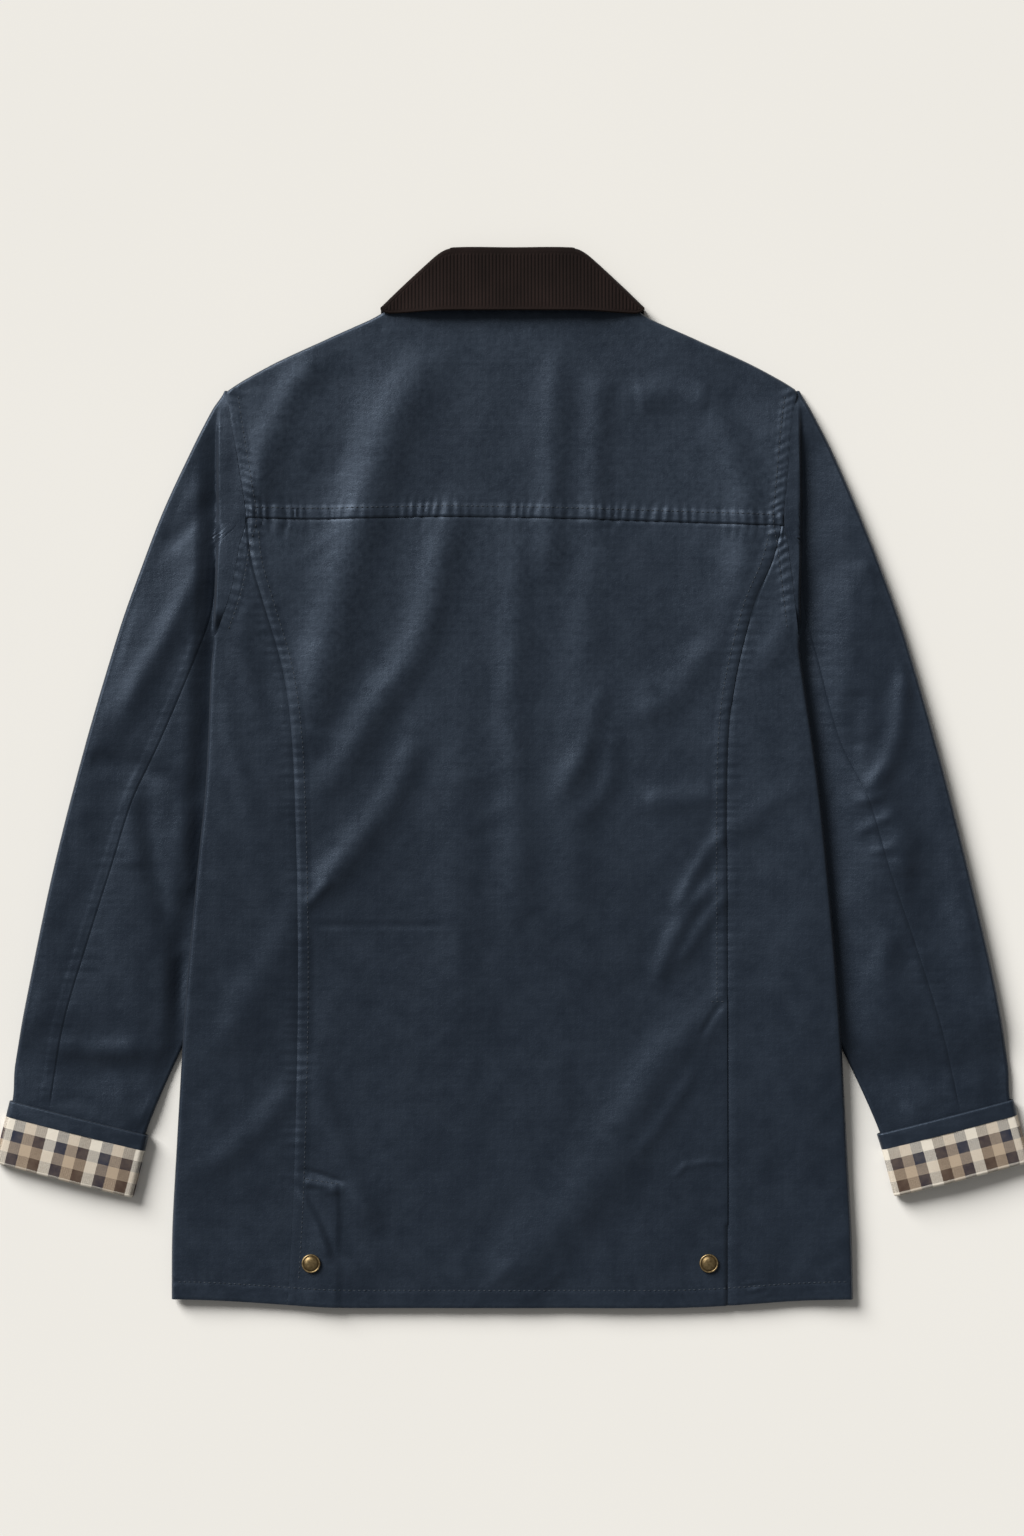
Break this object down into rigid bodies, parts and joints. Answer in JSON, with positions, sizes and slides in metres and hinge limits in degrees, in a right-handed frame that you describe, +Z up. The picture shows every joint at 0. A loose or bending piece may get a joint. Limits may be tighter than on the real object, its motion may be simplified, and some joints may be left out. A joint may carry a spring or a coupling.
{
  "type": "waxed cotton jacket",
  "caption": "Waxed cotton jacket laid face down, with yoked back panels, side vents, turned-up lined cuffs and a ribbed collar.",
  "frame": {"origin": "on the surface the jacket lies on, under the middle of its overall box", "axes": "+Z up out of the surface, +Y from the hem to the collar, +X to the right seen from above"},
  "size_m": [0.8283, 0.8488, 0.0126],
  "materials": {
    "waxed_cotton": "dark navy waxed cotton, soft low sheen",
    "checked_lining": "woven cotton check in cream, navy, tan and brown",
    "corduroy": "dark brown corduroy with upright wales",
    "stud_brass": "antiqued brass, worn bright at the rim"
  },
  "bodies": {
    "root": {"back_yoke": "waxed_cotton", "back_centre": "waxed_cotton", "back_side_left": "waxed_cotton", "back_side_right": "waxed_cotton", "vent_underlay_left": "waxed_cotton", "vent_underlay_right": "waxed_cotton", "front_left": "waxed_cotton", "front_right": "waxed_cotton", "sleeve_left_top": "waxed_cotton", "sleeve_left_under": "waxed_cotton", "sleeve_right_top": "waxed_cotton", "sleeve_right_under": "waxed_cotton", "cuff_left_facing": "waxed_cotton", "cuff_right_facing": "waxed_cotton", "cuff_left_turnup": "checked_lining", "cuff_right_turnup": "checked_lining", "collar": "corduroy", "vent_stud_left": "stud_brass", "vent_stud_right": "stud_brass"}
  },
  "joints": []
}
